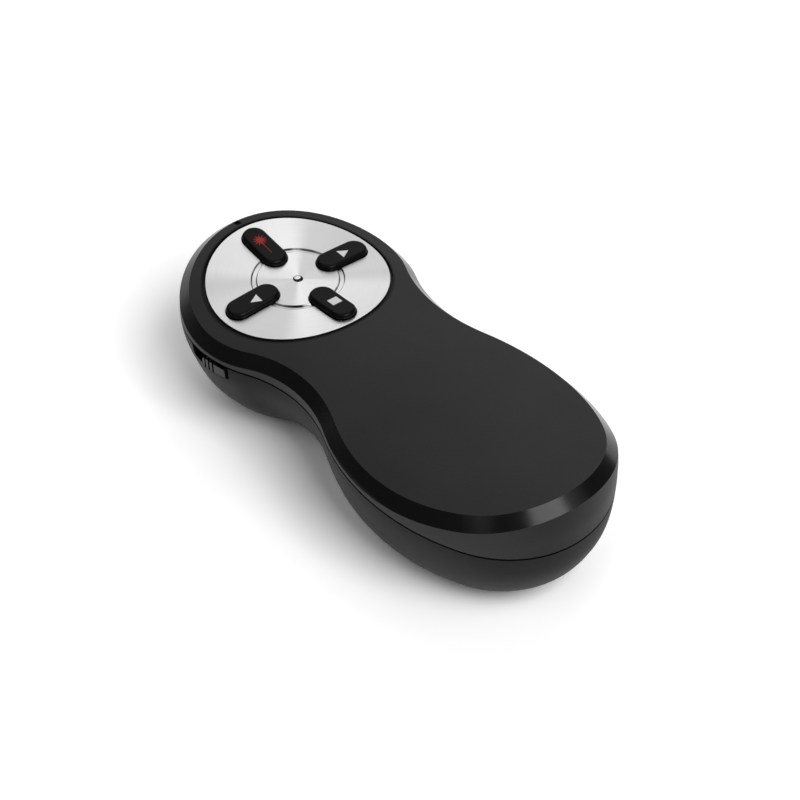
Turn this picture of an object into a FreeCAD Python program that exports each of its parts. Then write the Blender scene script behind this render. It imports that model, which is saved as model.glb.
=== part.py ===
import FreeCAD, Part
import math
import os

from FreeCAD import Vector

# Wireless presentation clicker. +Y points to the nose, +X to the right, +Z up.
# The origin is under the middle of the body, on the flat of the belly.
# All lengths are in millimetres.

# Body outline, seen from above
head_radius = 23.65
head_centre_y = 27.5
waist_half_width = 18.15
tail_half_width = 23.15
tail_widest_y = -21.05
tail_end_y = -51.15
side_radius = 40.2

# Body height and the slopes of its sides
body_height = 27.0
widest_drop = 8.0
upper_side_inset = 1.6
belly_draft_inset = 1.85
head_belly_radius = 9.6
side_belly_inset = 9.8
side_belly_bulge = 0.4
tail_belly_inset = 13.2
tail_belly_bulge = 1.95
waist_belly_inset = 9.8
upper_level_shares = (1, 0.8, 0.6, 0.4, 0.2, 0)
belly_level_angles = (12, 25, 40, 55, 70, 90)

# Crowned top: an arch across, and a wave lengthwise that rises to the tail
crown_radius = 70.0
crown_end_margin = 3.85
crown_side_margin = 6.35
crown_wave_heights = (2.0, -2.7, 0.3, 0.5)
bevel_size = 1.9

# Parting line between the casings, an arc seen from the side
parting_tail_drop = 9.6
parting_middle_drop = 6.7
parting_nose_drop = 8.2
parting_gap = 0.4

# Casing walls and the lip that joins them
wall = 1.8
lip_thickness = 0.7
lip_rise = 1.0
lip_clearance = 0.12
rib = 1.2
overrun = 2.0

# Steel disc
disc_offset = 0.3
rim_width = 5.05
plate_gap = 0.6
plate_thickness = 0.8
plate_dish = 1.6
plate_tilt = 0.44
shelf_drop = 4.6
shelf_rim = 1.5
ring_radius_share = 0.4778
ring_width = 1.0
ring_depth = 0.3

# Nose notch in the rim of the top
notch_width = 1.2
notch_length = 1.8
notch_depth = 0.7
notch_inset = 3.15

# Keys, their plan given as shares of the disc's radius
key_centre_share = 0.6056
key_length_share = 0.6389
key_width_share = 0.2833
key_rise = 1.15
key_rounding = 0.75
key_clearance = 0.2
key_travel = 0.8
flange_width = 0.7
flange_thickness = 0.9
seat_gap = 0.05

# Circuit board and the switches on it
board_margin = 3.65
board_thickness = 1.6
switch_size = 6.0
switch_height = 3.5
plunger_radius = 1.7
plunger_fit = 0.06
plunger_guide = 1.2
plunger_rise = 1.35
shield_width = 12.0
shield_length = 9.0
shield_height = 2.0
shield_offset = 14.0

# Status light and its clear light pipe
pipe_radius = 0.95
pipe_fit = 0.06
pipe_dome_rise = 0.35
light_width = 2.0
light_length = 1.3
light_height = 1.0
light_gap = 0.3

# Screws
screw_head_radius = 2.0
screw_head_height = 1.6
screw_radius = 1.1
screw_seat_height = 9.0
screw_tip_gap = 1.4
screw_hole_fit = 0.25
screw_pilot_fit = 0.02
screw_head_room = 0.4
screw_drive_width = 0.6
screw_drive_depth = 0.7
upper_boss_radius = 2.6
lower_boss_radius = 3.4
board_web = 0.5
head_screw_side_share = 0.736
head_screw_front_share = 0.677
head_boss_gap = 0.5
tail_screw_gap = 2.8
tail_screw_y = -27.0
tail_boss_gap = 0.4
board_screw_head_radius = 1.7
board_screw_head_height = 1.1
board_screw_radius = 0.8
board_screw_length = 5.0
board_screw_side_share = 0.55
board_screw_rear_share = 0.525
board_boss_radius = 2.2
board_hole_room = 0.4

# Laser module
laser_board_gap = 0.75
laser_barrel_radius = 3.25
laser_barrel_length = 14.0
laser_front_inset = 4.65
laser_barrel_fit = 0.05
laser_bore_radius = 1.5
laser_bore_depth = 1.2
laser_tail_radius = 2.5
laser_tail_length = 2.0
laser_bezel_radius = 3.9
laser_bezel_length = 3.0
laser_seat_depth = 1.0
laser_window_radius = 2.4
laser_window_thickness = 1.3
laser_window_gap = 0.3
cradle_rib_thickness = 2.0
cradle_rib_width = 9.0
cradle_rib_insets = (10.0, 4.5)

# Power switch in the left wall
slot_rear_offset = 7.0
slot_length = 10.5
slot_depth = 3.35
knob_length = 6.0
knob_height = 2.5
knob_clearance = 0.3
knob_proud = 0.4
knob_rounding_share = 0.33
knob_travel = 4.0
knob_flange_inset = 2.25
knob_flange_thickness = 0.7
knob_flange_overhang = 0.6
groove_width = 0.45
groove_depth = 0.5
groove_pitch = 1.1
groove_count = 3
relief_margin = 0.35
power_switch_inset = 4.45
power_switch_width = 3.4
power_switch_length = 9.4
power_switch_height = 3.2
lever_size = 1.2
lever_reach = 1.6
lever_slot_room = 0.2

# Battery bay, cells and contacts
cell_radius = 5.25
cell_length = 44.5
cell_nub_radius = 2.4
cell_nub_length = 1.2
cell_edge_rounding = 0.5
cell_gap = 0.4
cell_height_share = 0.3241
bay_side_room = 1.7
bay_roof_room = 0.4
bay_tail_inset = 8.15
contact_thickness = 0.4
contact_width = 7.0
contact_height = 5.8
spring_length = 2.7
spring_base_radius = 2.8
spring_tip_radius = 2.2
spring_wire = 0.6
cover_ledge = 0.5
cover_clearance = 0.25
cover_corner_radius = 4.0
cover_groove_width = 0.9
cover_groove_depth = 0.4
cover_groove_length = 12.0
cover_groove_pitch = 2.2
cover_groove_count = 4
cover_groove_inset = 4.0

# Receiver stick in its pocket under the head
receiver_case_width = 15.0
receiver_case_length = 8.0
receiver_case_height = 6.6
receiver_case_rounding = 1.0
receiver_recess = 0.4
receiver_rear_offset = 16.3
receiver_clearance = 0.3
plug_width = 12.0
plug_length = 12.0
plug_height = 4.5
plug_wall = 0.3
tongue_height = 1.9
tongue_short = 1.0
pull_notch_radius = 2.4
pull_notch_length = 8.0
pull_notch_block = 2.9

# Heights worked out from the sizes above
widest_height = body_height - widest_drop
parting_tail_height = body_height - parting_tail_drop
parting_middle_height = body_height - parting_middle_drop
parting_nose_height = body_height - parting_nose_drop
disc_height = body_height - plate_dish
shelf_height = body_height - shelf_drop
key_underside = shelf_height - seat_gap - flange_thickness
switch_top = key_underside - plunger_rise
board_top = switch_top - switch_height
board_underside = board_top - board_thickness
head_boss_split = board_underside - head_boss_gap
tail_boss_split = parting_tail_height - tail_boss_gap
screw_length = shelf_height - screw_seat_height - screw_tip_gap
laser_height = board_underside - laser_board_gap - laser_barrel_radius
slot_bottom = parting_middle_height - slot_depth
cell_height = body_height * cell_height_share
bay_roof = cell_height + cell_radius + bay_roof_room

# Places in plan worked out from the sizes above
nose_y = head_centre_y + head_radius
crown_end_y = nose_y + crown_end_margin
crown_half_width = head_radius + crown_side_margin
head_belly_inset = head_radius - belly_draft_inset - head_belly_radius
disc_centre_y = head_centre_y + disc_offset
recess_radius = head_radius - rim_width
plate_radius = recess_radius - plate_gap
disc_side_drop = plate_radius ** 2 / (2 * crown_radius) - plate_dish
ring_radius = plate_radius * ring_radius_share
key_centre_radius = plate_radius * key_centre_share
key_length = plate_radius * key_length_share
key_width = plate_radius * key_width_share
board_radius = head_radius - board_margin
shield_y = head_centre_y - shield_offset
laser_barrel_front_y = nose_y - laser_front_inset
slot_rear_y = head_centre_y - slot_rear_offset
slot_front_y = slot_rear_y + slot_length
knob_rear_y = slot_rear_y + knob_clearance
knob_middle_y = knob_rear_y + knob_length / 2
knob_flange_outer_x = head_radius - knob_flange_inset
power_switch_outer_x = head_radius - power_switch_inset
cell_spacing = 2 * cell_radius + cell_gap
cell_places = (-cell_spacing / 2, cell_spacing / 2)
bay_half_width = cell_spacing / 2 + cell_radius + bay_side_room
bay_tail_y = tail_end_y + bay_tail_inset
bay_nose_y = bay_tail_y + cell_length + spring_length + 2 * contact_thickness
receiver_rear_y = head_centre_y - receiver_rear_offset
head_screw_reach = board_radius - board_web - board_hole_room - upper_boss_radius
head_screw_x = head_screw_reach * head_screw_side_share
head_screw_y = head_centre_y + head_screw_reach * head_screw_front_share
tail_screw_x = bay_half_width + rib + tail_screw_gap
board_screw_x = board_radius * board_screw_side_share
board_screw_y = head_centre_y - board_radius * board_screw_rear_share
head_screw_places = tuple((side * head_screw_x, head_screw_y) for side in (-1, 1))
tail_screw_places = tuple((side * tail_screw_x, tail_screw_y) for side in (-1, 1))
board_screw_places = tuple((side * board_screw_x, board_screw_y) for side in (-1, 1))
key_directions = {"next": (1, 0), "laser": (0, 1), "previous": (-1, 0), "stop": (0, -1)}


# Plain shapes
def block(low, high):
    """Box between two opposite corners."""
    size = [high[i] - low[i] for i in range(3)]
    return Part.makeBox(size[0], size[1], size[2], Vector(*low))


def upright(x, y, low, high, radius):
    """Upright cylinder between two heights."""
    return Part.makeCylinder(radius, high - low, Vector(x, y, low))


def lengthwise(x, z, rear, front, radius):
    """Cylinder along Y between two places."""
    return Part.makeCylinder(radius, front - rear, Vector(x, rear, z), Vector(0, 1, 0))


def slab(outline, low, high):
    """Upright prism over a flat wire drawn at height 0."""
    face = Part.Face(outline)
    face.translate(Vector(0, 0, low))
    return face.extrude(Vector(0, 0, high - low))


def oblong(length, width):
    """Wire with two round ends, along X about the origin."""
    radius = width / 2
    reach = length / 2 - radius
    corners = [Vector(reach, -radius, 0), Vector(reach, radius, 0),
               Vector(-reach, radius, 0), Vector(-reach, -radius, 0)]
    right_end = Part.Arc(corners[0], Vector(length / 2, 0, 0), corners[1]).toShape()
    left_end = Part.Arc(corners[2], Vector(-length / 2, 0, 0), corners[3]).toShape()
    upper_side = Part.makeLine(corners[1], corners[2])
    lower_side = Part.makeLine(corners[3], corners[0])
    return Part.Wire([right_end, upper_side, left_end, lower_side])


def rounded_block(low, high, radius):
    """Box with rounded upright edges."""
    solid = block(low, high)
    upright_edges = [edge for edge in solid.Edges if abs(edge.tangentAt(edge.FirstParameter).z) > 0.5]
    return solid.makeFillet(radius, upright_edges)


# Body
def tail_arc(centre_x, centre_y, radius, end_y):
    """Radius of the arc centred on the axis that ends the tail, tangent to the side arc."""
    reach = centre_y - end_y
    return (radius ** 2 - centre_x ** 2 - reach ** 2) / (2 * (radius - reach))


def neck_arc(head, head_r, side, side_r, waist):
    """Centre and radius of the hollow arc that touches both arcs and leaves a given half waist."""
    head_near = head_r - waist
    head_far = head_r + waist
    side_near = side_r - waist + side.x
    side_far = side_r + waist - side.x
    gap = head.y - side.y
    level = gap ** 2 + side_near * side_far - head_near * head_far
    slope = side_near - head_near
    linear = 2 * level * slope - 4 * gap ** 2 * side_near
    constant = level ** 2 - 4 * gap ** 2 * side_near * side_far
    diameter = 2 * constant / (math.sqrt(linear ** 2 - 4 * slope ** 2 * constant) - linear)
    centre_y = head.y - math.sqrt(head_near * (head_far + diameter))
    return Vector(waist + diameter / 2, centre_y, head.z), diameter / 2


def towards(start, end, distance):
    """Point at a distance from start on the line to end."""
    return start + (end - start).normalize() * distance


def arc_edge(centre, radius, start, end):
    """Arc of under a half circle about a known centre."""
    return Part.Arc(start, towards(centre, (start + end) * 0.5, radius), end).toShape()


def body_outline(height, head_inset, waist_inset, side_inset, tail_inset):
    """Peanut outline of tangent arcs at one height."""
    head = Vector(0, head_centre_y, height)
    head_r = head_radius - head_inset
    side = Vector(tail_half_width - side_radius, tail_widest_y, height)
    side_r = side_radius - side_inset
    neck, neck_r = neck_arc(head, head_r, side, side_r, waist_half_width - waist_inset)
    end_y = tail_end_y + tail_inset
    tail_r = tail_arc(side.x, side.y, side_r, end_y)
    tail = Vector(0, end_y + tail_r, height)
    nose_point = Vector(0, head_centre_y + head_r, height)
    tail_point = Vector(0, end_y, height)
    head_end = towards(head, neck, head_r)
    side_start = towards(side, neck, side_r)
    side_end = towards(side, tail, side_r)
    head_edge = Part.Arc(Vector(-head_end.x, head_end.y, height), nose_point, head_end).toShape()
    tail_edge = Part.Arc(side_end, tail_point, Vector(-side_end.x, side_end.y, height)).toShape()
    right = [arc_edge(neck, neck_r, head_end, side_start), arc_edge(side, side_r, side_start, side_end)]
    across = FreeCAD.Matrix(-1, 0, 0, 0, 0, 1, 0, 0, 0, 0, 1, 0, 0, 0, 0, 1)
    left = [edge.transformGeometry(across) for edge in reversed(right)]
    return Part.Wire([head_edge] + right + [tail_edge] + left)


def body_solid(depth):
    """Whole body, drawn in by a depth under its surface, with its top left tall and flat."""
    outlines = []
    top = body_height + 2 * overrun
    for share in upper_level_shares:
        height = widest_height + (top - widest_height) * share
        inset = depth + upper_side_inset * share ** 2
        outlines.append(body_outline(height, inset, inset, inset, inset))
    for angle in belly_level_angles:
        turn = math.radians(angle)
        height = widest_height - (widest_height - depth) * math.sin(turn)
        draft = depth + belly_draft_inset * math.sin(turn)
        round_share = 1 - math.cos(turn)
        bulge_share = math.sin(2 * turn)
        outlines.append(body_outline(
            height,
            draft + (head_belly_inset - depth) * round_share,
            draft + (waist_belly_inset - depth) * math.sin(turn) ** 2,
            draft + (side_belly_inset - depth) * round_share - side_belly_bulge * bulge_share,
            draft + (tail_belly_inset - depth) * round_share - tail_belly_bulge * bulge_share))
    return Part.makeLoft(outlines, True, False)


# Curved surfaces that cut the body
def patch_above(half_width, rear, front, across_heights, along_heights, base):
    """Space above a curved patch whose height is a sum of a curve across and a curve along."""
    surface = Part.BezierSurface()
    across_count = len(across_heights)
    along_count = len(along_heights)
    surface.increase(across_count - 1, along_count - 1)
    for i, across in enumerate(across_heights):
        x = half_width * (2 * i / (across_count - 1) - 1)
        for j, along in enumerate(along_heights):
            y = rear + (front - rear) * j / (along_count - 1)
            surface.setPole(i + 1, j + 1, Vector(x, y, base + across + along))
    return surface.toShape().extrude(Vector(0, 0, body_height))


def above_crown(lowered):
    """Space above the crowned top, or above a surface lowered from it."""
    drop = crown_half_width ** 2 / (2 * crown_radius)
    return patch_above(crown_half_width, -crown_end_y, crown_end_y, (-drop, drop, -drop),
                       crown_wave_heights, body_height - lowered)


def above_dish(lowered):
    """Space above the dished disc, or above a surface lowered from it."""
    size_share = (recess_radius / plate_radius) ** 2
    side_drop = disc_side_drop * size_share
    rim_rise = plate_dish * size_share
    across = (-side_drop, side_drop, -side_drop)
    along = (rim_rise - plate_tilt, -rim_rise, rim_rise + plate_tilt)
    return patch_above(recess_radius, disc_centre_y - recess_radius, disc_centre_y + recess_radius,
                       across, along, disc_height - lowered)


def above_parting(raised):
    """Space above the parting line's surface, or above one raised from it."""
    rear = Vector(-crown_half_width, -crown_end_y, parting_tail_height + raised)
    middle = Vector(-crown_half_width, 0, parting_middle_height + raised)
    front = Vector(-crown_half_width, crown_end_y, parting_nose_height + raised)
    line = Part.Arc(rear, middle, front).toShape()
    surface = line.extrude(Vector(2 * crown_half_width, 0, 0))
    return surface.extrude(Vector(0, 0, body_height))


def crowned_body():
    """Whole body with its crowned top and the bevel round it."""
    solid = body_solid(0).cut(above_crown(0))
    top_face = max(solid.Faces, key=lambda face: face.CenterOfMass.z)
    return solid.makeChamfer(bevel_size, top_face.Edges)


def inner_body():
    """Space inside the casings, with the shelf under the disc left standing."""
    space = body_solid(wall).cut(above_crown(wall))
    shelf = upright(0, disc_centre_y, shelf_height, body_height + overrun, recess_radius + shelf_rim)
    return space.cut(shelf)


# Keys and the holes that they stand in
def along_key(shape, direction):
    """Turn a shape drawn along X to lie radially at a key's place."""
    placed = shape.copy()
    placed.translate(Vector(key_centre_radius, 0, 0))
    angle = math.degrees(math.atan2(direction[1], direction[0]))
    placed.rotate(Vector(0, 0, 0), Vector(0, 0, 1), angle)
    placed.translate(Vector(0, disc_centre_y, 0))
    return placed


def key_holes():
    """Four oblong holes through the disc and its shelf."""
    hole = slab(oblong(key_length + 2 * key_clearance, key_width + 2 * key_clearance),
                board_top, body_height + overrun)
    return [along_key(hole, direction) for direction in key_directions.values()]


def key_shape(direction):
    """Key cap with its rounded top and the flange that holds it under the shelf."""
    stem = along_key(slab(oblong(key_length, key_width), key_underside, body_height + overrun), direction)
    cap = stem.cut(above_dish(-key_rise))
    top_face = max(cap.Faces, key=lambda face: face.CenterOfMass.z)
    cap = cap.makeFillet(key_rounding, top_face.Edges)
    flange = slab(oblong(key_length + 2 * flange_width, key_width + 2 * flange_width),
                  key_underside, shelf_height - seat_gap)
    return cap.fuse(along_key(flange, direction)).removeSplitter()


def plunger_shape(direction):
    """Plunger of the small switch under a key."""
    return along_key(upright(0, 0, switch_top - plunger_guide, key_underside, plunger_radius), direction)


def key_switch_shapes():
    """Bodies of the four small switches, each with the bore of its plunger."""
    half = switch_size / 2
    body = block((-half, -half, board_top), (half, half, switch_top))
    bore_low = switch_top - plunger_guide - key_travel - plunger_fit
    bore = upright(0, 0, bore_low, switch_top + overrun, plunger_radius + plunger_fit)
    switch = body.cut(bore)
    return [along_key(switch, direction) for direction in key_directions.values()]


# Upper casing
def top_housing():
    """Upper casing with the disc's recess, its shelf and the screw bosses."""
    shell = crowned_body().common(above_parting(parting_gap / 2)).cut(inner_body())
    rebate = body_solid(wall - lip_thickness - lip_clearance)
    rebate = rebate.cut(above_parting(lip_rise + parting_gap))
    shell = shell.cut(rebate)
    bosses = []
    for x, y in head_screw_places:
        bosses.append(upright(x, y, head_boss_split + seat_gap, shelf_height + seat_gap, upper_boss_radius))
    core = body_solid(wall / 2).cut(above_crown(wall / 2))
    for x, y in tail_screw_places:
        boss = upright(x, y, tail_boss_split + seat_gap, body_height, upper_boss_radius)
        bosses.append(boss.common(core))
    for x, y in board_screw_places:
        bosses.append(upright(x, y, board_top, shelf_height + seat_gap, board_boss_radius))
    shell = shell.fuse(bosses)
    recess = upright(0, disc_centre_y, shelf_height, body_height + overrun, recess_radius)
    cuts = [recess.common(above_dish(plate_thickness))] + key_holes()
    cuts.append(upright(0, disc_centre_y, shelf_height - overrun, body_height, pipe_radius + pipe_fit))
    for x, y in head_screw_places + tail_screw_places:
        tip = screw_seat_height + screw_length + seat_gap
        cuts.append(upright(x, y, head_boss_split - overrun, tip, screw_radius + screw_pilot_fit))
    for x, y in board_screw_places:
        tip = board_underside + board_screw_length + seat_gap
        cuts.append(upright(x, y, board_underside, tip, board_screw_radius + screw_pilot_fit))
    cuts.append(notch())
    cuts.append(switch_relief())
    return shell.cut(cuts)


def notch():
    """Small notch in the rim of the top at the nose."""
    half_width = notch_width / 2
    half_length = notch_length / 2
    middle_y = nose_y - notch_inset
    return block((-half_width, middle_y - half_length, body_height - notch_depth),
                 (half_width, middle_y + half_length, body_height + overrun))


# Steel disc
def face_plate():
    """Dished steel disc with its engraved ring, its key holes and the hole of the light."""
    top = body_height + overrun
    disc = upright(0, disc_centre_y, shelf_height, top, plate_radius)
    disc = disc.common(above_dish(plate_thickness)).cut(above_dish(0))
    ring = upright(0, disc_centre_y, shelf_height, top, ring_radius + ring_width / 2)
    ring = ring.cut(upright(0, disc_centre_y, shelf_height, top, ring_radius - ring_width / 2))
    cuts = [ring.common(above_dish(ring_depth))] + key_holes()
    cuts.append(upright(0, disc_centre_y, shelf_height, body_height, pipe_radius + pipe_fit))
    return disc.cut(cuts)


def status_light_lens():
    """Clear light pipe with a domed end that stands just above the disc."""
    low = board_top + light_height + light_gap
    pipe = upright(0, disc_centre_y, low, disc_height, pipe_radius)
    dome_radius = (pipe_radius ** 2 + pipe_dome_rise ** 2) / (2 * pipe_dome_rise)
    centre = Vector(0, disc_centre_y, disc_height + pipe_dome_rise - dome_radius)
    ball = Part.makeSphere(dome_radius, centre)
    cap = ball.common(upright(0, disc_centre_y, disc_height, disc_height + overrun, pipe_radius))
    return pipe.fuse(cap).removeSplitter()


def status_light():
    """Indicator light on the board under the light pipe."""
    return block((-light_width / 2, disc_centre_y - light_length / 2, board_top),
                 (light_width / 2, disc_centre_y + light_length / 2, board_top + light_height))


# Circuit board
def control_board():
    """Round board, with holes for the front screw bosses and for its own screws."""
    board = upright(0, head_centre_y, board_underside, board_top, board_radius)
    cuts = []
    for x, y in head_screw_places:
        cuts.append(upright(x, y, 0, body_height, upper_boss_radius + board_hole_room))
    for x, y in board_screw_places:
        cuts.append(upright(x, y, 0, body_height, board_screw_radius + screw_hole_fit))
    return board.cut(cuts)


def board_screws():
    """Two screws that hold the board up to the upper casing."""
    screws = []
    for x, y in board_screw_places:
        low = board_underside - board_screw_head_height
        head = upright(x, y, low, board_underside, board_screw_head_radius)
        shank = upright(x, y, low, board_underside + board_screw_length, board_screw_radius)
        screws.append(head.fuse(shank).cut(screw_drive(x, y, low, board_screw_head_radius)))
    return screws


def screw_drive(x, y, low, head_radius_here):
    """Cross recess in the underside of a screw's head."""
    reach = head_radius_here / 2
    half = screw_drive_width / 2
    top = low + screw_drive_depth
    first = block((x - reach, y - half, low - overrun), (x + reach, y + half, top))
    second = block((x - half, y - reach, low - overrun), (x + half, y + reach, top))
    return first.fuse(second)


def housing_screws():
    """Four screws that hold the casings together from below."""
    screws = []
    for x, y in head_screw_places + tail_screw_places:
        low = screw_seat_height - screw_head_height
        head = upright(x, y, low, screw_seat_height, screw_head_radius)
        shank = upright(x, y, low, screw_seat_height + screw_length, screw_radius)
        screws.append(head.fuse(shank).cut(screw_drive(x, y, low, screw_head_radius)))
    return screws


def radio_shield():
    """Metal can over the radio, under the board."""
    return block((-shield_width / 2, shield_y - shield_length / 2, board_underside - shield_height),
                 (shield_width / 2, shield_y + shield_length / 2, board_underside))


# Laser
def laser_barrel():
    """Barrel of the laser module, with its aperture and its narrower rear end."""
    front = laser_barrel_front_y
    rear = front - laser_barrel_length
    barrel = lengthwise(0, laser_height, rear + laser_tail_length, front, laser_barrel_radius)
    tail = lengthwise(0, laser_height, rear, front - laser_bore_depth, laser_tail_radius)
    bore = lengthwise(0, laser_height, front - laser_bore_depth, front + overrun, laser_bore_radius)
    return barrel.fuse(tail).cut(bore)


def laser_window():
    """Clear disc in the nose, in front of the laser."""
    rear = laser_barrel_front_y + laser_window_gap
    return lengthwise(0, laser_height, rear, rear + laser_window_thickness, laser_window_radius)


# Power switch
def slot_cut():
    """Slot for the slider, cut down from the edge of the lower casing."""
    radius = (parting_middle_height - slot_bottom) / 2
    low = (-head_radius - overrun, slot_rear_y, slot_bottom)
    high = (-knob_flange_outer_x + overrun, slot_front_y, parting_middle_height + overrun)
    solid = block(low, high)
    cross_edges = [edge for edge in solid.Edges if abs(edge.tangentAt(edge.FirstParameter).x) > 0.5]
    lower_edges = [edge for edge in cross_edges if edge.CenterOfMass.z < slot_bottom + radius]
    return solid.makeFillet(radius / 2, lower_edges)


def switch_relief():
    """Room inside both casings for the slider's flange."""
    margin = knob_flange_overhang + relief_margin
    top = parting_middle_height + margin + knob_clearance
    return block((-knob_flange_outer_x - seat_gap, slot_rear_y - margin, slot_bottom - margin),
                 (-power_switch_outer_x, slot_front_y + margin, top))


def power_switch_knob():
    """Slider with a ribbed face, a smooth end and a flange behind the wall."""
    low = slot_bottom + knob_clearance
    rear = knob_rear_y
    front = rear + knob_length
    rounding = knob_height * knob_rounding_share
    body = block((-head_radius - overrun, rear, low), (-knob_flange_outer_x, front, low + knob_height))
    cross_edges = [edge for edge in body.Edges if abs(edge.tangentAt(edge.FirstParameter).x) > 0.5]
    body = body.makeFillet(rounding, cross_edges)
    body = body.common(upright(0, head_centre_y, 0, body_height, head_radius + knob_proud))
    grooves = []
    half_groove = groove_width / 2
    for i in range(groove_count):
        place = front - rounding - i * groove_pitch
        face_x = math.sqrt((head_radius + knob_proud) ** 2 - (place - head_centre_y) ** 2)
        grooves.append(block((-face_x - overrun, place - half_groove, low - overrun),
                             (-face_x + groove_depth, place + half_groove, low + knob_height + overrun)))
    flange = block((-knob_flange_outer_x, rear - knob_flange_overhang, low - knob_flange_overhang),
                   (-knob_flange_outer_x + knob_flange_thickness, front + knob_flange_overhang,
                    low + knob_height + knob_flange_overhang))
    return body.cut(grooves).fuse(flange)


def power_switch_lever():
    """Lever of the slide switch, pushed along by the slider."""
    outer = -knob_flange_outer_x + knob_flange_thickness
    middle_z = board_top + power_switch_height / 2
    half = lever_size / 2
    return block((outer, knob_middle_y - half, middle_z - half),
                 (-power_switch_outer_x + lever_reach, knob_middle_y + half, middle_z + half))


def power_switch_body():
    """Slide switch on the edge of the board, with the slot that its lever runs in."""
    middle_y = knob_middle_y + knob_travel / 2
    middle_z = board_top + power_switch_height / 2
    half_y = power_switch_length / 2
    inner_x = -power_switch_outer_x + power_switch_width
    body = block((-power_switch_outer_x, middle_y - half_y, board_top),
                 (inner_x, middle_y + half_y, board_top + power_switch_height))
    half_room = lever_size / 2 + lever_slot_room
    slot = block((-power_switch_outer_x - overrun, knob_middle_y - half_room, middle_z - half_room),
                 (-power_switch_outer_x + lever_reach + lever_slot_room,
                  knob_middle_y + knob_travel + half_room, middle_z + half_room))
    return body.cut(slot)


# Lower casing
def cover_prism(clearance):
    """Upright prism over the plan of the battery cover, which a narrow ledge of the bay holds."""
    margin = cover_ledge + clearance
    half = bay_half_width - margin
    return rounded_block((-half, bay_tail_y + margin, -overrun),
                         (half, bay_nose_y - margin, widest_height / 2),
                         cover_corner_radius - clearance)


def belly_wall():
    """Wall of the body below the parting line."""
    return body_solid(0).cut(above_parting(-parting_gap / 2)).cut(inner_body())


def joining_lip():
    """Lip on the lower casing that stands inside the upper one."""
    lip = body_solid(wall - lip_thickness).cut(body_solid(wall))
    return lip.common(above_parting(-wall)).cut(above_parting(lip_rise))


def bay_walls():
    """Solid box that the battery bay is cut from."""
    half = bay_half_width + rib
    return block((-half, bay_tail_y - rib, 0), (half, bay_nose_y + rib, bay_roof + rib))


def bay_space():
    """Room for the cells, inside the belly's wall."""
    room = block((-bay_half_width, bay_tail_y, 0), (bay_half_width, bay_nose_y, bay_roof))
    return room.common(body_solid(wall))


def pocket_space():
    """Room for the receiver stick, open at the underside."""
    gap = receiver_clearance
    roof = receiver_recess + receiver_case_height + gap
    case_front = receiver_rear_y + receiver_case_length
    half_case = receiver_case_width / 2 + gap
    half_plug = plug_width / 2 + gap
    case_room = block((-half_case, receiver_rear_y - gap, -overrun), (half_case, case_front + gap, roof))
    plug_room = block((-half_plug, case_front, -overrun), (half_plug, case_front + plug_length + gap, roof))
    pull = Part.makeCylinder(pull_notch_radius, pull_notch_length,
                             Vector(-pull_notch_length / 2, receiver_rear_y, 0), Vector(1, 0, 0))
    return case_room.fuse([plug_room, pull])


def pocket_walls():
    """Solid block that the receiver's pocket is cut from."""
    outer = receiver_clearance + rib
    roof = receiver_recess + receiver_case_height + outer
    half = receiver_case_width / 2 + outer
    front = receiver_rear_y + receiver_case_length + plug_length + outer
    return block((-half, receiver_rear_y - pull_notch_block - receiver_clearance, 0), (half, front, roof))


def laser_seats():
    """Bezel behind the nose and the two ribs that carry the laser's barrel."""
    bezel = lengthwise(0, laser_height, laser_barrel_front_y - laser_seat_depth,
                       laser_barrel_front_y + laser_bezel_length, laser_bezel_radius)
    half_width = cradle_rib_width / 2
    half_thickness = cradle_rib_thickness / 2
    ribs = []
    for inset in cradle_rib_insets:
        place = laser_barrel_front_y - inset
        ribs.append(block((-half_width, place - half_thickness, 0),
                          (half_width, place + half_thickness, laser_height)))
    return [bezel] + ribs


def laser_cuts():
    """Hole of the nose window and the seat of the barrel."""
    window = lengthwise(0, laser_height, laser_barrel_front_y - overrun, nose_y + overrun,
                        laser_window_radius + laser_barrel_fit)
    rear = laser_barrel_front_y - laser_barrel_length - overrun
    barrel = lengthwise(0, laser_height, rear, laser_barrel_front_y, laser_barrel_radius + laser_barrel_fit)
    return [window, barrel]


def bottom_housing():
    """Lower casing with the battery bay, the receiver's pocket, the bosses and the laser's seats."""
    shell = belly_wall().fuse(joining_lip())
    bosses = [upright(x, y, 0, head_boss_split, lower_boss_radius) for x, y in head_screw_places]
    bosses += [upright(x, y, 0, tail_boss_split, lower_boss_radius) for x, y in tail_screw_places]
    inside = [bay_walls(), pocket_walls()] + bosses + laser_seats()
    outer = body_solid(wall / 2)
    inside = [piece.common(outer) for piece in inside]
    shell = shell.fuse(inside)
    cuts = [bay_space(), cover_prism(0), pocket_space(), slot_cut(), switch_relief()] + laser_cuts()
    for x, y in head_screw_places + tail_screw_places:
        cuts.append(upright(x, y, -overrun, screw_seat_height, screw_head_radius + screw_head_room))
        cuts.append(upright(x, y, 0, body_height, screw_radius + screw_hole_fit))
    return shell.cut(cuts)


def battery_cover():
    """Cover of the battery bay, with thumb grooves near its nose end."""
    cover = belly_wall().common(cover_prism(cover_clearance))
    grooves = []
    for i in range(cover_groove_count):
        place = bay_nose_y - cover_groove_inset - i * cover_groove_pitch
        grooves.append(block((-cover_groove_length / 2, place - cover_groove_width / 2, -overrun),
                             (cover_groove_length / 2, place + cover_groove_width / 2, cover_groove_depth)))
    return cover.cut(grooves)


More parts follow.
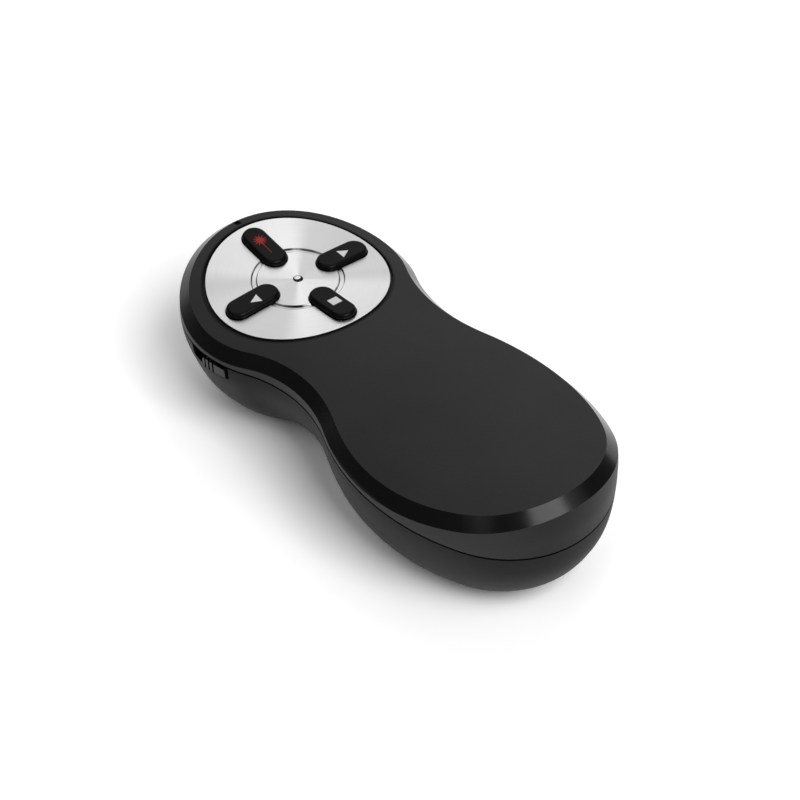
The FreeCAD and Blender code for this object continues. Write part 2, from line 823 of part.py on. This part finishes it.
# Cells and their contacts
def battery_cell(x, nub_direction):
    """Small round cell along Y, with its nub at the end that it points to."""
    if nub_direction > 0:
        nub_tip = bay_nose_y - contact_thickness
    else:
        nub_tip = bay_tail_y + contact_thickness
    tube_end = nub_tip - nub_direction * cell_nub_length
    flat_end = nub_tip - nub_direction * cell_length
    tube = lengthwise(x, cell_height, min(tube_end, flat_end), max(tube_end, flat_end), cell_radius)
    rims = [edge for edge in tube.Edges if len(edge.Vertexes) == 1]
    tube = tube.makeFillet(cell_edge_rounding, rims)
    nub = lengthwise(x, cell_height, min(nub_tip, tube_end), max(nub_tip, tube_end), cell_nub_radius)
    return tube.fuse(nub)


def battery_plates():
    """Four contact sheets against the end walls of the bay."""
    plates = []
    half_width = contact_width / 2
    half_height = contact_height / 2
    for x in cell_places:
        for rear in (bay_tail_y, bay_nose_y - contact_thickness):
            plates.append(block((x - half_width, rear, cell_height - half_height),
                                (x + half_width, rear + contact_thickness, cell_height + half_height)))
    return plates


def battery_springs():
    """Two tapered contact springs at the flat ends of the cells, each as a thin tapered sleeve."""
    springs = []
    starts = ((cell_places[0], bay_tail_y + contact_thickness, 1),
              (cell_places[1], bay_nose_y - contact_thickness, -1))
    for x, start, way in starts:
        base = Vector(x, start, cell_height)
        axis = Vector(0, way, 0)
        outer = Part.makeCone(spring_base_radius, spring_tip_radius, spring_length, base, axis)
        inner = Part.makeCone(spring_base_radius - spring_wire, spring_tip_radius - spring_wire,
                              spring_length, base, axis)
        springs.append(outer.cut(inner))
    return springs


# Receiver stick
def usb_receiver_case():
    """Moulded case of the receiver, with the flat tongue inside its plug."""
    half = receiver_case_width / 2
    low = receiver_recess
    front = receiver_rear_y + receiver_case_length
    case = rounded_block((-half, receiver_rear_y, low), (half, front, low + receiver_case_height),
                         receiver_case_rounding)
    middle = low + receiver_case_height / 2
    tongue_half = plug_width / 2 - plug_wall
    tongue_top = middle + plug_height / 2 - plug_wall
    tongue = block((-tongue_half, front - plug_wall, tongue_top - tongue_height),
                   (tongue_half, front + plug_length - tongue_short, tongue_top))
    return case.fuse(tongue)


def usb_receiver_plug():
    """Thin metal shell of the receiver's plug."""
    middle = receiver_recess + receiver_case_height / 2
    rear = receiver_rear_y + receiver_case_length
    half = plug_width / 2
    low = middle - plug_height / 2
    high = middle + plug_height / 2
    outer = block((-half, rear, low), (half, rear + plug_length, high))
    inner = block((-half + plug_wall, rear - overrun, low + plug_wall),
                  (half - plug_wall, rear + plug_length + overrun, high - plug_wall))
    return outer.cut(inner)


def save(name, shapes):
    """Write one node's solids and print what is in it."""
    solids = [solid for shape in shapes for solid in shape.Solids]
    shape = solids[0] if len(solids) == 1 else Part.makeCompound(solids)
    shape.exportStep(os.path.join("parts", name + ".step"))
    box = shape.BoundBox
    print(name, len(solids), shape.isValid(), round(shape.Volume, 1),
          [round(value, 2) for value in (box.XMin, box.XMax, box.YMin, box.YMax, box.ZMin, box.ZMax)])


def main():
    """Build every node."""
    os.makedirs("parts", exist_ok=True)
    save("top_housing", [top_housing()])
    save("face_plate", [face_plate()])
    for name, direction in key_directions.items():
        save(name + "_key", [key_shape(direction)])
        save(name + "_switch_plunger", [plunger_shape(direction)])
    save("key_switch_bodies", key_switch_shapes())
    save("status_light_lens", [status_light_lens()])
    save("status_light", [status_light()])
    save("control_board", [control_board()])
    save("board_screws", board_screws())
    save("radio_shield", [radio_shield()])
    save("laser_barrel", [laser_barrel()])
    save("laser_window", [laser_window()])
    save("power_switch_knob", [power_switch_knob()])
    save("power_switch_lever", [power_switch_lever()])
    save("power_switch_body", [power_switch_body()])
    save("bottom_housing", [bottom_housing()])
    save("housing_screws", housing_screws())
    save("battery_cover", [battery_cover()])
    save("battery_left", [battery_cell(cell_places[0], 1)])
    save("battery_right", [battery_cell(cell_places[1], -1)])
    save("battery_plates", battery_plates())
    save("battery_springs", battery_springs())
    save("usb_receiver_case", [usb_receiver_case()])
    save("usb_receiver_plug", [usb_receiver_plug()])


main()
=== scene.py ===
import math

import bpy
from mathutils import Euler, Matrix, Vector


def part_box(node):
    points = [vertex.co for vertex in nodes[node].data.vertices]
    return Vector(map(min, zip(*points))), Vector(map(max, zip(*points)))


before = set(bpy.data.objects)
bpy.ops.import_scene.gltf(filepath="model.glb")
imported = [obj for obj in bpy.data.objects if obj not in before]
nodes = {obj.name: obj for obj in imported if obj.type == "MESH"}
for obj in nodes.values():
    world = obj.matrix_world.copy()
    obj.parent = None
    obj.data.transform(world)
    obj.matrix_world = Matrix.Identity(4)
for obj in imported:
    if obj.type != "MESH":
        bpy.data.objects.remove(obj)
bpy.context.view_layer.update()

# Wireless presentation clicker on a pale floor. All lengths are in metres.
MM = 0.001

# Round steel disc: its engraved ring, the middle of a painted bright fan of reflection, and the outer edge
# of the near-black shade painted on the casing round it
disc_low, disc_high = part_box("face_plate")
DISC_Y = ((disc_low + disc_high) / 2).y
RING_RADIUS = 8.6 * MM
RING_HALF_WIDTH = 0.5 * MM
PAINTED_FAN_ANGLE = math.radians(95)
SHADED_GAP_RADIUS = (disc_high.x - disc_low.x) / 2 + 0.97 * MM
SHADED_GAP_BLUR = 0.05 * MM

# Moulded plastic: the size and depth of its grain, and how much handling changes its roughness
GRAIN = 0.25 * MM
GRAIN_DEPTH = 0.010 * MM
CELLS_PER_GRAIN = 1.6
HANDLING = 0.12
CASING_WARMTH = 0.03
BEVEL_FOOT, BEVEL_TOP = 20.5 * MM, 21.5 * MM

# Signs printed on the keys: corners in millimetres from the middle of the disc, and the laser's burst
SIGNS = {
    "next_key": [(10.35, -1.40), (12.45, -0.15), (10.35, 1.00)],
    "previous_key": [(-11.85, -0.65), (-9.85, -1.80), (-9.70, 0.50)],
    "stop_key": [(-0.78, -12.25), (1.32, -12.35), (1.34, -10.35), (-0.76, -10.25)],
    "laser_key": [(-0.26, 8.2), (-0.16, 8.2), (0.09, 12.0), (-0.09, 12.0)],
}
SIGN_BLUR = 0.03 * MM
WHITE_PRINT = (0.62, 0.62, 0.62, 1.0)
RED_PRINT = (0.30, 0.020, 0.022, 1.0)
BURST_Y = 12.3 * MM + DISC_Y
BURST_CORE, BURST_TIPS = 0.72 * MM, 1.40 * MM
BURST_SPIKES = 11.0
BURST_SHARPNESS = 2.2
BURST_BLUR = 0.04 * MM

PLASTIC_IOR = 1.49

# Camera at the photograph's place, above the left of the tail
CAMERA_PLACE = (-0.13076, -0.15922, 0.21178)
CAMERA_TURN = (46.020, 0.1086, -40.056)
CAMERA_LENS = 67.5

# Softboxes: name, direction from the part, side of the square in metres and power in watts
LIGHTS = [
    ("front_light", (-0.02, -0.61, 0.80), 0.55, 6.4),
    ("right_light", (0.30, -0.50, 0.81), 0.6, 1.25),
    ("left_light", (-0.60, 0.0, 0.80), 0.6, 1.3),
    ("disc_light", (0.46, 0.55, 0.69), 0.95, 2.8),
]
LIGHT_DISTANCE = 1.0
LIGHT_AIM = (0.0, 0.0, 0.01)
ROOM_LEVEL, BACKDROP_LEVEL = 0.17, 1.0

# The floor fades to the white backdrop between these distances from the origin
FADE_START, FADE_END = 0.18, 0.6
FADE_LEVEL = 0.85
FLOOR_HALF = 6.0


class Graph:
    """Short way to build the nodes of one material."""

    def __init__(self, name):
        self.material = bpy.data.materials.new(name)
        self.material.use_nodes = True
        self.tree = self.material.node_tree
        self.shader = self.tree.nodes["Principled BSDF"]
        self.coordinates = self.tree.nodes.new("ShaderNodeTexCoord")

    def put(self, socket, value):
        """Link a socket into an input, or set the input to a plain value."""
        if isinstance(value, bpy.types.NodeSocket):
            self.tree.links.new(value, socket)
        else:
            socket.default_value = value

    def set(self, **values):
        """Set inputs of the shader; Base_Color stands for Base Color."""
        for name, value in values.items():
            self.put(self.shader.inputs[name.replace("_", " ")], value)

    def math(self, operation, a, b=0.0, c=0.0):
        """Result of a math node."""
        node = self.tree.nodes.new("ShaderNodeMath")
        node.operation = operation
        for socket, value in zip(node.inputs, (a, b, c)):
            self.put(socket, value)
        return node.outputs[0]

    def length(self, x, y):
        """Length of a flat vector."""
        squares = self.math("ADD", self.math("MULTIPLY", x, x), self.math("MULTIPLY", y, y))
        return self.math("SQRT", squares)

    def ramp(self, value, low, high, to_low=0.0, to_high=1.0):
        """Smooth step of a value from one range to another."""
        node = self.tree.nodes.new("ShaderNodeMapRange")
        node.interpolation_type = "SMOOTHSTEP"
        for socket, number in zip(node.inputs, (value, low, high, to_low, to_high)):
            self.put(socket, number)
        return node.outputs[0]

    def mix(self, factor, a, b):
        """Mix of two colours."""
        node = self.tree.nodes.new("ShaderNodeMix")
        node.data_type = "RGBA"
        self.put(node.inputs["Factor"], factor)
        self.put(node.inputs["A"], a)
        self.put(node.inputs["B"], b)
        return node.outputs["Result"]

    def blend(self, factor, a, b):
        """Mix of two numbers."""
        node = self.tree.nodes.new("ShaderNodeMix")
        for name, value in (("Factor", factor), ("A", a), ("B", b)):
            self.put(node.inputs[name], value)
        return node.outputs["Result"]

    def split(self, vector):
        """x, y and z of a vector."""
        node = self.tree.nodes.new("ShaderNodeSeparateXYZ")
        self.put(node.inputs[0], vector)
        return node.outputs

    def vector(self, x, y, z):
        """Vector from three values."""
        node = self.tree.nodes.new("ShaderNodeCombineXYZ")
        for socket, value in zip(node.inputs, (x, y, z)):
            self.put(socket, value)
        return node.outputs[0]

    def place(self):
        """x, y and z in the part's frame."""
        return self.split(self.coordinates.outputs["Object"])

    def facing(self):
        """x, y and z of the surface's normal in the part's frame."""
        return self.split(self.coordinates.outputs["Normal"])

    def from_disc_middle(self):
        """x and y measured from the middle of the disc, and the distance from it."""
        x, y, _ = self.place()
        y = self.math("SUBTRACT", y, DISC_Y)
        return x, y, self.length(x, y)

    def noise(self, size, detail=2.0, vector=None, roughness=0.5):
        """Noise from 0 to 1 with features of a size in metres."""
        node = self.tree.nodes.new("ShaderNodeTexNoise")
        node.inputs["Scale"].default_value = 1 / size
        node.inputs["Detail"].default_value = detail
        node.inputs["Roughness"].default_value = roughness
        self.put(node.inputs["Vector"], vector or self.coordinates.outputs["Object"])
        return node.outputs["Fac"]

    def cells(self, size):
        """Distance to the middle of small cells."""
        node = self.tree.nodes.new("ShaderNodeTexVoronoi")
        node.inputs["Scale"].default_value = 1 / size
        self.put(node.inputs["Vector"], self.coordinates.outputs["Object"])
        return node.outputs["Distance"]

    def bump(self, height, depth, strength=1.0):
        """Bump from a height of 0 to 1, with its depth in metres."""
        node = self.tree.nodes.new("ShaderNodeBump")
        self.put(node.inputs["Strength"], strength)
        node.inputs["Distance"].default_value = depth
        self.put(node.inputs["Height"], height)
        return node.outputs["Normal"]

    def wear(self, amount):
        """Soft value round 1 for handling marks, by a share either way."""
        marks = self.noise(14 * MM, 4.0)
        return self.math("MULTIPLY_ADD", self.math("SUBTRACT", marks, 0.5), 2 * amount, 1.0)

    def moulded(self, level, grain, warm=0.0):
        """Colour that varies a little round a grey level, and the fine speckle in it."""
        speckle = self.noise(grain, 3.0)
        broad = self.noise(22 * MM, 3.0)
        tone = self.math("ADD", self.math("MULTIPLY", speckle, 0.35), self.math("MULTIPLY", broad, 0.65))
        colour = self.mix(self.ramp(tone, 0.3, 0.7), grey(level * 0.86, warm), grey(level * 1.14, warm))
        return colour, speckle

    def darken(self, mask, level):
        """Lay a dark grey over the shader's colour where a mask is 1, as painted shade."""
        plain = self.shader.inputs["Base Color"].links[0].from_socket
        self.set(Base_Color=self.mix(mask, plain, grey(level)))


def grey(level, warm=0.0):
    """Neutral colour, a little redder where warm is above 0."""
    return (level * (1 + warm), level, level * (1 - warm * 0.3), 1.0)


def grained_plastic(name, level, roughness, grain=GRAIN, depth=GRAIN_DEPTH, warm=0.0, gloss=0.15):
    """Matt moulded plastic with a fine spark-eroded grain and faint handling marks."""
    graph = Graph(name)
    colour, speckle = graph.moulded(level, grain, warm)
    graph.set(
        Base_Color=colour,
        Roughness=graph.math("MULTIPLY", graph.wear(HANDLING), roughness),
        Specular_IOR_Level=gloss,
        Normal=graph.bump(graph.math("ADD", speckle, graph.cells(grain * CELLS_PER_GRAIN)), depth),
    )
    return graph


def casing_material():
    """Soft matt top, walls painted darker where they face the front and lighter where they face left as
    painted shade and light, a polished bevel between top and walls, and painted near-black shade round the
    disc.
    """
    graph = Graph("upper_casing")
    top, speckle = graph.moulded(0.0155, GRAIN, CASING_WARMTH)
    across, _, slope = graph.facing()
    # Painted light and shade: walls facing the front get a darker copy of the casing colour, and walls
    # facing left a lighter one
    shaded_wall, lit_wall = grey(0.0025, CASING_WARMTH), grey(0.022, CASING_WARMTH)
    walls = graph.mix(graph.ramp(across, -0.2, -0.9), shaded_wall, lit_wall)
    matt = graph.mix(graph.ramp(slope, 0.5, 0.2), top, walls)
    from_middle = graph.from_disc_middle()[2]
    # Painted shade: the casing is painted near-black inside this radius round the disc
    gap_shade = graph.ramp(from_middle, SHADED_GAP_RADIUS + SHADED_GAP_BLUR, SHADED_GAP_RADIUS - SHADED_GAP_BLUR)
    steep = graph.ramp(slope, 0.915, 0.885)
    tilted = graph.ramp(slope, 0.35, 0.45)
    high = graph.ramp(graph.place()[2], BEVEL_FOOT, BEVEL_TOP)
    bevel = graph.math("MULTIPLY", graph.math("MULTIPLY", steep, tilted), high)
    satin = graph.math("MULTIPLY", graph.wear(HANDLING), 0.5)
    polish = graph.ramp(graph.noise(9 * MM, 4.0), 0.35, 0.75, 0.18, 0.24)
    graph.set(
        Base_Color=graph.mix(graph.math("MAXIMUM", bevel, gap_shade), matt, grey(0.002)),
        Roughness=graph.blend(bevel, satin, polish),
        Specular_IOR_Level=0.2,
        Normal=graph.bump(
            graph.math("ADD", speckle, graph.cells(GRAIN * CELLS_PER_GRAIN)), GRAIN_DEPTH,
            graph.math("SUBTRACT", 1.0, bevel)),
    )
    return graph.material


def lower_casing_material():
    """Matt lower casing, with painted shade: surfaces facing up, such as the ledge inside the parting
    line, are painted near-black.
    """
    graph = grained_plastic("lower_casing", 0.009, 0.5, warm=0.02, gloss=0.11)
    # Painted shade: up-facing surfaces, the ledge in the parting groove among them, are painted near-black
    graph.darken(graph.ramp(graph.facing()[2], 0.4, 0.8), 0.0005)
    return graph.material


def knob_material():
    """Satin ribbed knob, pale on its crests, with painted shade on the faces turned away from its outer
    side and on its lower part.
    """
    graph = grained_plastic("knob_plastic", 0.045, 0.3, 0.2 * MM, 0.006 * MM)
    low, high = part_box("power_switch_knob")
    middle = (low.z + high.z) / 2
    # Painted shade: the lower part and the faces turned away from the outside, groove walls among them,
    # are painted near-black
    foot_shade = graph.ramp(graph.place()[2], middle - 0.55 * MM, middle - 0.75 * MM)
    flank_shade = graph.ramp(graph.facing()[0], -0.70, -0.50)
    graph.darken(graph.math("MAXIMUM", foot_shade, flank_shade), 0.001)
    return graph.material


def inside(graph, corners):
    """1 inside a polygon of convex corners, given anticlockwise in metres, and 0 outside."""
    x, y, _ = graph.place()
    farthest = None
    for (ax, ay), (bx, by) in zip(corners, corners[1:] + corners[:1]):
        length = math.hypot(bx - ax, by - ay)
        nx, ny = (by - ay) / length, (ax - bx) / length
        offset = -(ax * nx + ay * ny)
        side = graph.math("MULTIPLY_ADD", x, nx, offset)
        side = graph.math("MULTIPLY_ADD", y, ny, side)
        farthest = side if farthest is None else graph.math("MAXIMUM", farthest, side)
    return graph.ramp(farthest, SIGN_BLUR, -SIGN_BLUR)


def starburst(graph):
    """1 inside the burst of pointed rays on the laser key, and 0 outside."""
    x, y, _ = graph.place()
    y = graph.math("SUBTRACT", y, BURST_Y)
    wave = graph.math("COSINE", graph.math("MULTIPLY", graph.math("ARCTAN2", y, x), BURST_SPIKES))
    peak = graph.math("POWER", graph.math("MULTIPLY_ADD", wave, 0.5, 0.5), BURST_SHARPNESS)
    edge = graph.math("MULTIPLY_ADD", peak, BURST_TIPS - BURST_CORE, BURST_CORE)
    return graph.ramp(graph.math("SUBTRACT", graph.length(x, y), edge), BURST_BLUR, -BURST_BLUR)


def key_material(key, colour):
    """Key with a matt top, glossy rounded sides and a printed sign."""
    graph = Graph(key + "_plastic")
    speckle = graph.noise(0.18 * MM, 3.0)
    top = graph.ramp(graph.facing()[2], 0.90, 0.985)
    sign = inside(graph, [(x * MM, y * MM + DISC_Y) for x, y in SIGNS[key]])
    if key == "laser_key":
        sign = graph.math("MAXIMUM", starburst(graph), sign)
    mark = graph.math("MULTIPLY", sign, top)
    worn = graph.ramp(graph.noise(0.5 * MM, 5.0), 0.25, 0.42, 0.86, 1.0)
    plastic = graph.mix(top, grey(0.0008), graph.mix(speckle, grey(0.003), grey(0.006)))
    graph.set(
        Base_Color=graph.mix(graph.math("MULTIPLY", mark, worn), plastic, colour),
        Roughness=graph.math("MULTIPLY", graph.ramp(top, 0.0, 1.0, 0.36, 0.5), graph.wear(HANDLING)),
        Specular_IOR_Level=0.1,
        Normal=graph.bump(graph.math("MULTIPLY_ADD", mark, 1.5, speckle), 0.006 * MM, top),
    )
    return graph.material


def spun_disc_material():
    """Steel spun on a lathe: fine rings, painted bright and dark sectors of reflection fanning from the
    middle, and painted shade along the edges of the engraved ring.
    """
    graph = Graph("spun_disc")
    x, y, radius = graph.from_disc_middle()
    angle = graph.math("ARCTAN2", y, x)
    rings = graph.vector(radius, graph.math("MULTIPLY", angle, 0.25 * MM), 0.0)
    rings = graph.noise(0.09 * MM, 3.0, rings)
    streaks = graph.vector(graph.math("COSINE", angle), graph.math("SINE", angle), 0.0)
    streaks = graph.noise(1.0, 3.0, streaks, 0.6)
    turned = graph.tree.nodes.new("ShaderNodeVectorMath")
    turned.operation = "NORMALIZE"
    graph.put(turned.inputs[0], graph.vector(graph.math("MULTIPLY", y, -1.0), x, 0.0))
    # Painted shade: dark lines along both edges of the engraved ring, patchy along its length
    from_ring = graph.math("ABSOLUTE", graph.math("SUBTRACT", radius, RING_RADIUS))
    from_edge = graph.math("ABSOLUTE", graph.math("SUBTRACT", from_ring, RING_HALF_WIDTH))
    ring_shade = graph.ramp(from_edge, 0.17 * MM, 0.04 * MM)
    ring_shade = graph.math("MULTIPLY", ring_shade, graph.ramp(streaks, 0.42, 0.56, 0.35, 1.0))
    # Painted highlight: bright and dark sectors of reflection, laid into the steel's colour by angle round
    # the middle
    turn = graph.math("MULTIPLY_ADD", angle, 2.0, -2 * PAINTED_FAN_ANGLE)
    fan_highlight = graph.ramp(graph.math("COSINE", turn), -0.35, 0.35, 0.74, 1.0)
    tone = graph.math("ADD", graph.math("MULTIPLY", rings, 0.6), graph.math("MULTIPLY", streaks, 0.4))
    steel = graph.mix(graph.ramp(tone, 0.3, 0.7), grey(0.80), grey(0.88))
    steel = graph.mix(fan_highlight, grey(0.0), steel)
    graph.set(
        Base_Color=graph.mix(ring_shade, steel, grey(0.02)),
        Metallic=1.0,
        Roughness=graph.math("MULTIPLY_ADD", rings, 0.06, 0.33),
        Anisotropic=0.75,
        Tangent=turned.outputs[0],
        Normal=graph.bump(rings, 0.0006 * MM),
    )
    return graph.material


def metal_material(name, colour, roughness, streak=(0.4, 0.4, 0.4)):
    """Plated or tinned metal with fine drawn streaks, longer where streak has a larger share."""
    graph = Graph(name)
    drawn = graph.vector(*[graph.math("DIVIDE", way, size) for way, size in zip(graph.place(), streak)])
    lines = graph.noise(1 * MM, 4.0, drawn)
    dull = graph.noise(3 * MM, 4.0)
    dark = tuple(channel * 0.82 for channel in colour[:3]) + (1.0,)
    graph.set(
        Base_Color=graph.mix(graph.ramp(dull, 0.3, 0.7), dark, colour),
        Metallic=1.0,
        Roughness=graph.math("MULTIPLY_ADD", lines, 0.14, roughness - 0.07),
        Normal=graph.bump(lines, 0.004 * MM),
    )
    return graph.material


def polished_plastic(name, colour, least_roughness, transmission):
    """Polished plastic that lets a share of the light through, with faint moulding ripple."""
    graph = Graph(name)
    smears = graph.noise(0.8 * MM, 3.0)
    graph.set(
        Base_Color=colour(graph),
        Roughness=graph.ramp(smears, 0.3, 0.7, least_roughness, least_roughness + 0.05),
        IOR=PLASTIC_IOR,
        Transmission_Weight=transmission,
        Normal=graph.bump(graph.noise(1.6 * MM, 1.0), 0.004 * MM),
    )
    return graph.material


def window_colour(graph):
    """Clear, hardly tinted colour of the laser's window."""
    return graph.mix(graph.noise(1.2 * MM), (0.88, 0.90, 0.91, 1.0), (0.94, 0.95, 0.96, 1.0))


def lens_colour_and_painted_light(graph):
    """Milky dome of the status light, its milky patch set off to one side as a painted glint, inside a
    painted near-black rim of shade.
    """
    low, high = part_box("status_light_lens")
    radius = (high.x - low.x) / 2
    x, y, _ = graph.from_disc_middle()
    # Painted highlight and shade: a bright milky patch off the lens's middle, and a near-black ring round
    # it
    from_glint = graph.length(x, graph.math("SUBTRACT", y, 0.22 * radius))
    rim_shade = graph.ramp(from_glint, 0.58 * radius, 0.76 * radius)
    milk = graph.mix(graph.noise(1.2 * MM), grey(0.88), grey(0.95))
    return graph.mix(rim_shade, milk, grey(0.006))


def board_material():
    """Green solder mask over faint copper tracks."""
    graph = Graph("circuit_board")
    x, y, _ = graph.place()
    tracks = graph.tree.nodes.new("ShaderNodeTexBrick")
    graph.put(tracks.inputs["Vector"], graph.vector(x, y, 0.0))
    tracks.inputs["Scale"].default_value = 1 / (5 * MM)
    tracks.inputs["Mortar Size"].default_value = 0.03
    lines = tracks.outputs["Fac"]
    mask = graph.mix(graph.noise(6 * MM, 3.0), (0.006, 0.075, 0.028, 1.0), (0.010, 0.100, 0.036, 1.0))
    graph.set(
        Base_Color=graph.mix(lines, mask, (0.020, 0.16, 0.055, 1.0)),
        Roughness=graph.math("MULTIPLY", graph.wear(0.1), 0.33),
        Normal=graph.bump(lines, 0.02 * MM),
    )
    return graph.material


def cell_material(name, node, share, way):
    """Printed sleeve of a cell: a dark field, and a bright band from a share of its length on.

    The band runs towards +Y where way is 1, and towards -Y where it is -1.
    """
    graph = Graph(name)
    low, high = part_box(node)
    beyond = graph.math("SUBTRACT", graph.place()[1], low.y + (high.y - low.y) * share)
    band = graph.ramp(graph.math("MULTIPLY", beyond, way), -0.05 * MM, 0.05 * MM)
    scuffs = graph.noise(2.5 * MM, 5.0)
    field = graph.mix(scuffs, grey(0.018), grey(0.026))
    graph.set(
        Base_Color=graph.mix(band, field, (0.46, 0.36, 0.20, 1.0)),
        Metallic=graph.ramp(band, 0.0, 1.0, 0.1, 0.8),
        Roughness=graph.ramp(scuffs, 0.35, 0.7, 0.22, 0.38),
        Normal=graph.bump(scuffs, 0.02 * MM),
    )
    return graph.material


def dress(material, *names):
    """Give nodes a material in every slot."""
    for name in names:
        slots = nodes[name].data.materials
        for i in range(len(slots)):
            slots[i] = material
        if not slots:
            slots.append(material)


def dress_all():
    """Materials of every node."""
    dress(casing_material(), "top_housing")
    dress(lower_casing_material(), "bottom_housing", "battery_cover")
    dress(spun_disc_material(), "face_plate")
    for key in SIGNS:
        dress(key_material(key, RED_PRINT if key == "laser_key" else WHITE_PRINT), key)
    dress(knob_material(), "power_switch_knob")
    dress(grained_plastic("plunger_plastic", 0.03, 0.4).material,
          "next_switch_plunger", "laser_switch_plunger", "previous_switch_plunger",
          "stop_switch_plunger", "power_switch_lever")
    dress(grained_plastic("switch_plastic", 0.08, 0.45).material, "key_switch_bodies")
    dress(grained_plastic("receiver_plastic", 0.02, 0.42).material, "usb_receiver_case")
    dress(grained_plastic("light_chip", 0.62, 0.35, warm=0.05).material, "status_light")
    dress(polished_plastic("clear_plastic", window_colour, 0.02, 1.0), "laser_window")
    dress(polished_plastic("status_lens", lens_colour_and_painted_light, 0.04, 0.1), "status_light_lens")
    dress(board_material(), "control_board")
    dress(metal_material("screw_steel", (0.46, 0.46, 0.47, 1.0), 0.32), "housing_screws", "board_screws")
    dress(metal_material("tinned_can", (0.62, 0.62, 0.60, 1.0), 0.34, (0.3, 2.0, 0.3)),
          "radio_shield", "power_switch_body")
    dress(metal_material("plug_metal", (0.66, 0.66, 0.66, 1.0), 0.30, (0.2, 3.0, 0.2)),
          "usb_receiver_plug")
    dress(metal_material("contact_metal", (0.70, 0.69, 0.66, 1.0), 0.22),
          "battery_plates", "battery_springs")
    dress(metal_material("turned_brass", (0.72, 0.52, 0.24, 1.0), 0.28, (0.6, 0.15, 0.6)),
          "laser_barrel")
    dress(cell_material("cell_sleeve_rear", "battery_left", 0.72, 1.0), "battery_left")
    dress(cell_material("cell_sleeve_front", "battery_right", 0.28, -1.0), "battery_right")


def camera():
    """Camera of the main view."""
    data = bpy.data.cameras.new("camera")
    data.sensor_width = 36
    data.lens = CAMERA_LENS
    data.clip_start = 0.01
    data.clip_end = 20
    piece = bpy.data.objects.new("camera", data)
    piece.location = CAMERA_PLACE
    piece.rotation_euler = Euler([math.radians(angle) for angle in CAMERA_TURN])
    bpy.context.scene.collection.objects.link(piece)
    bpy.context.scene.camera = piece


def floor_material():
    """Pale matt floor, which the camera sees as white outside the shadow and far from the part."""
    graph = Graph("floor")
    rays = graph.tree.nodes.new("ShaderNodeLightPath")
    seen = graph.math("MAXIMUM", rays.outputs["Is Camera Ray"], rays.outputs["Is Glossy Ray"])
    seen = graph.math("MAXIMUM", seen, rays.outputs["Is Transmission Ray"])
    grain = graph.noise(1.5 * MM, 4.0)
    plain = graph.mix(grain, grey(0.90), grey(0.93))
    bright = graph.mix(grain, grey(1.19), grey(1.22))
    x, y, _ = graph.place()
    backdrop = graph.ramp(graph.length(x, y), FADE_START, FADE_END, 0.0, FADE_LEVEL)
    graph.set(
        Base_Color=graph.mix(seen, plain, bright),
        Roughness=0.9,
        Specular_IOR_Level=0.0,
        Emission_Color=grey(1.0),
        Emission_Strength=graph.math("MULTIPLY", seen, backdrop),
    )
    return graph.material


def floor():
    """Wide floor under the part."""
    corners = [(-FLOOR_HALF, -FLOOR_HALF, 0), (FLOOR_HALF, -FLOOR_HALF, 0),
               (FLOOR_HALF, FLOOR_HALF, 0), (-FLOOR_HALF, FLOOR_HALF, 0)]
    mesh = bpy.data.meshes.new("floor")
    mesh.from_pydata(corners, [], [(0, 1, 2, 3)])
    piece = bpy.data.objects.new("floor", mesh)
    mesh.materials.append(floor_material())
    bpy.context.scene.collection.objects.link(piece)


def area_light(name, direction, side, power):
    """Square softbox that looks at the part from a direction."""
    data = bpy.data.lights.new(name, "AREA")
    data.shape = "SQUARE"
    data.size = side
    data.energy = power
    piece = bpy.data.objects.new(name, data)
    way = Vector(direction).normalized()
    piece.location = Vector(LIGHT_AIM) + way * LIGHT_DISTANCE
    piece.rotation_mode = "QUATERNION"
    piece.rotation_quaternion = way.to_track_quat("Z", "Y")
    bpy.context.scene.collection.objects.link(piece)


def room():
    """Dim room round the part, which the camera sees as a white backdrop."""
    world = bpy.data.worlds.new("room")
    world.use_nodes = True
    bpy.context.scene.world = world
    tree = world.node_tree
    backdrop = tree.nodes["Background"]
    rays = tree.nodes.new("ShaderNodeLightPath")
    level = tree.nodes.new("ShaderNodeMapRange")
    tree.links.new(rays.outputs["Is Camera Ray"], level.inputs["Value"])
    level.inputs["To Min"].default_value = ROOM_LEVEL
    level.inputs["To Max"].default_value = BACKDROP_LEVEL
    tree.links.new(level.outputs[0], backdrop.inputs["Strength"])
    backdrop.inputs["Color"].default_value = grey(1.0)


dress_all()
floor()
for light in LIGHTS:
    area_light(*light)
room()
camera()
bpy.context.scene.view_settings.view_transform = "Standard"
